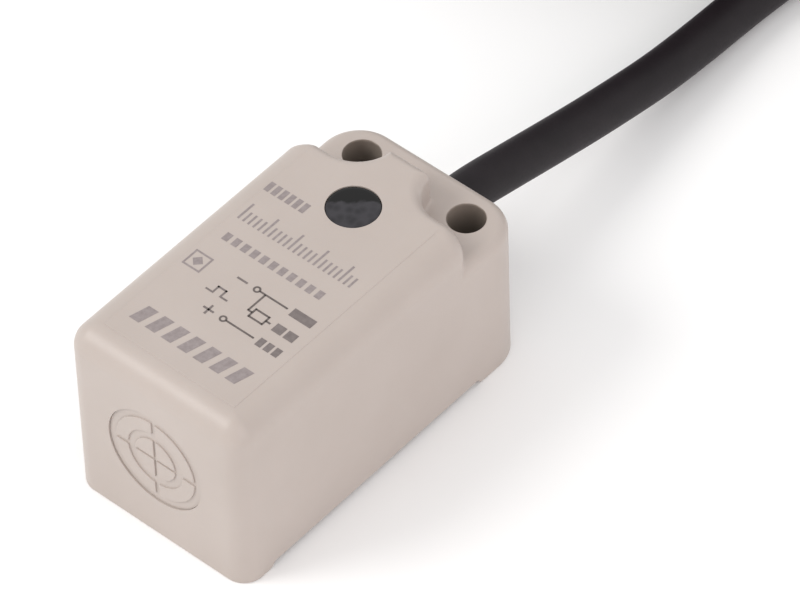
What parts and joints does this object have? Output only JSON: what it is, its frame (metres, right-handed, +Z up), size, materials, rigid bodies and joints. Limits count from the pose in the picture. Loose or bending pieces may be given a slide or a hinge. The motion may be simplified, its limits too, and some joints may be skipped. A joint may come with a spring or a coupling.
{
  "type": "inductive proximity sensor",
  "caption": "Block-shaped inductive proximity sensor with two mounting ears, an indicator window and a flying lead that leaves the rear face.",
  "frame": {"origin": "on the standing surface, under the middle of the case", "axes": "+Z up out of the printed face, -Y out of the sensing face, +Y along the case towards the lead, +X to the right seen from the sensing face's back"},
  "size_m": [0.0549, 0.1157, 0.0264],
  "materials": {
    "case": "moulded beige ABS, fine satin texture",
    "smoked_lens": "glossy smoked lens",
    "ferrite": "dark sintered ferrite",
    "nylon": "natural nylon",
    "copper_wire": "enamelled copper wire",
    "foam": "grey foam pad",
    "board": "green solder mask",
    "chip_body": "black moulding compound",
    "chip_resistor": "black glazed chip",
    "chip_ceramic": "tan ceramic",
    "tantalum": "yellow moulded case",
    "led": "red lens",
    "seal_rubber": "black rubber",
    "clamp_steel": "plated steel",
    "resin": "cast dark epoxy",
    "jacket": "black PVC, satin",
    "tie": "black nylon strap",
    "core_brown": "brown PVC",
    "core_black": "black PVC",
    "core_blue": "blue PVC",
    "tinned": "tinned strands and solder"
  },
  "bodies": {
    "root": {"bottom_cover": "case", "cable_clamp": "clamp_steel", "cable_coil": "jacket", "cable_jacket": "jacket", "cable_seal": "seal_rubber", "cable_tail": "jacket", "case_shell": "case", "chip_capacitor_1": "chip_ceramic", "chip_capacitor_2": "chip_ceramic", "chip_capacitor_3": "chip_ceramic", "chip_capacitor_4": "chip_ceramic", "chip_resistor_1": "chip_resistor", "chip_resistor_2": "chip_resistor", "chip_resistor_3": "chip_resistor", "chip_resistor_4": "chip_resistor", "chip_resistor_5": "chip_resistor", "chip_resistor_6": "chip_resistor", "circuit_board": "board", "coil_bobbin": "nylon", "coil_tie_far": "tie", "coil_tie_near": "tie", "coil_winding": "copper_wire", "coil_wire_left": "copper_wire", "coil_wire_right": "copper_wire", "ferrite_pot_core": "ferrite", "front_spacer": "foam", "indicator_led": "led", "indicator_window": "smoked_lens", "inner_core_black": "core_black", "inner_core_blue": "core_blue", "inner_core_brown": "core_brown", "lead_black": "core_black", "lead_blue": "core_blue", "lead_brown": "core_brown", "oscillator_chip": "chip_body", "output_transistor": "chip_body", "polarity_diode": "chip_body", "potting_resin": "resin", "solder_joint_black": "tinned", "solder_joint_blue": "tinned", "solder_joint_brown": "tinned", "supply_capacitor": "tantalum", "surge_diode": "chip_body", "tinned_tip_black": "tinned", "tinned_tip_blue": "tinned", "tinned_tip_brown": "tinned"}
  },
  "joints": []
}
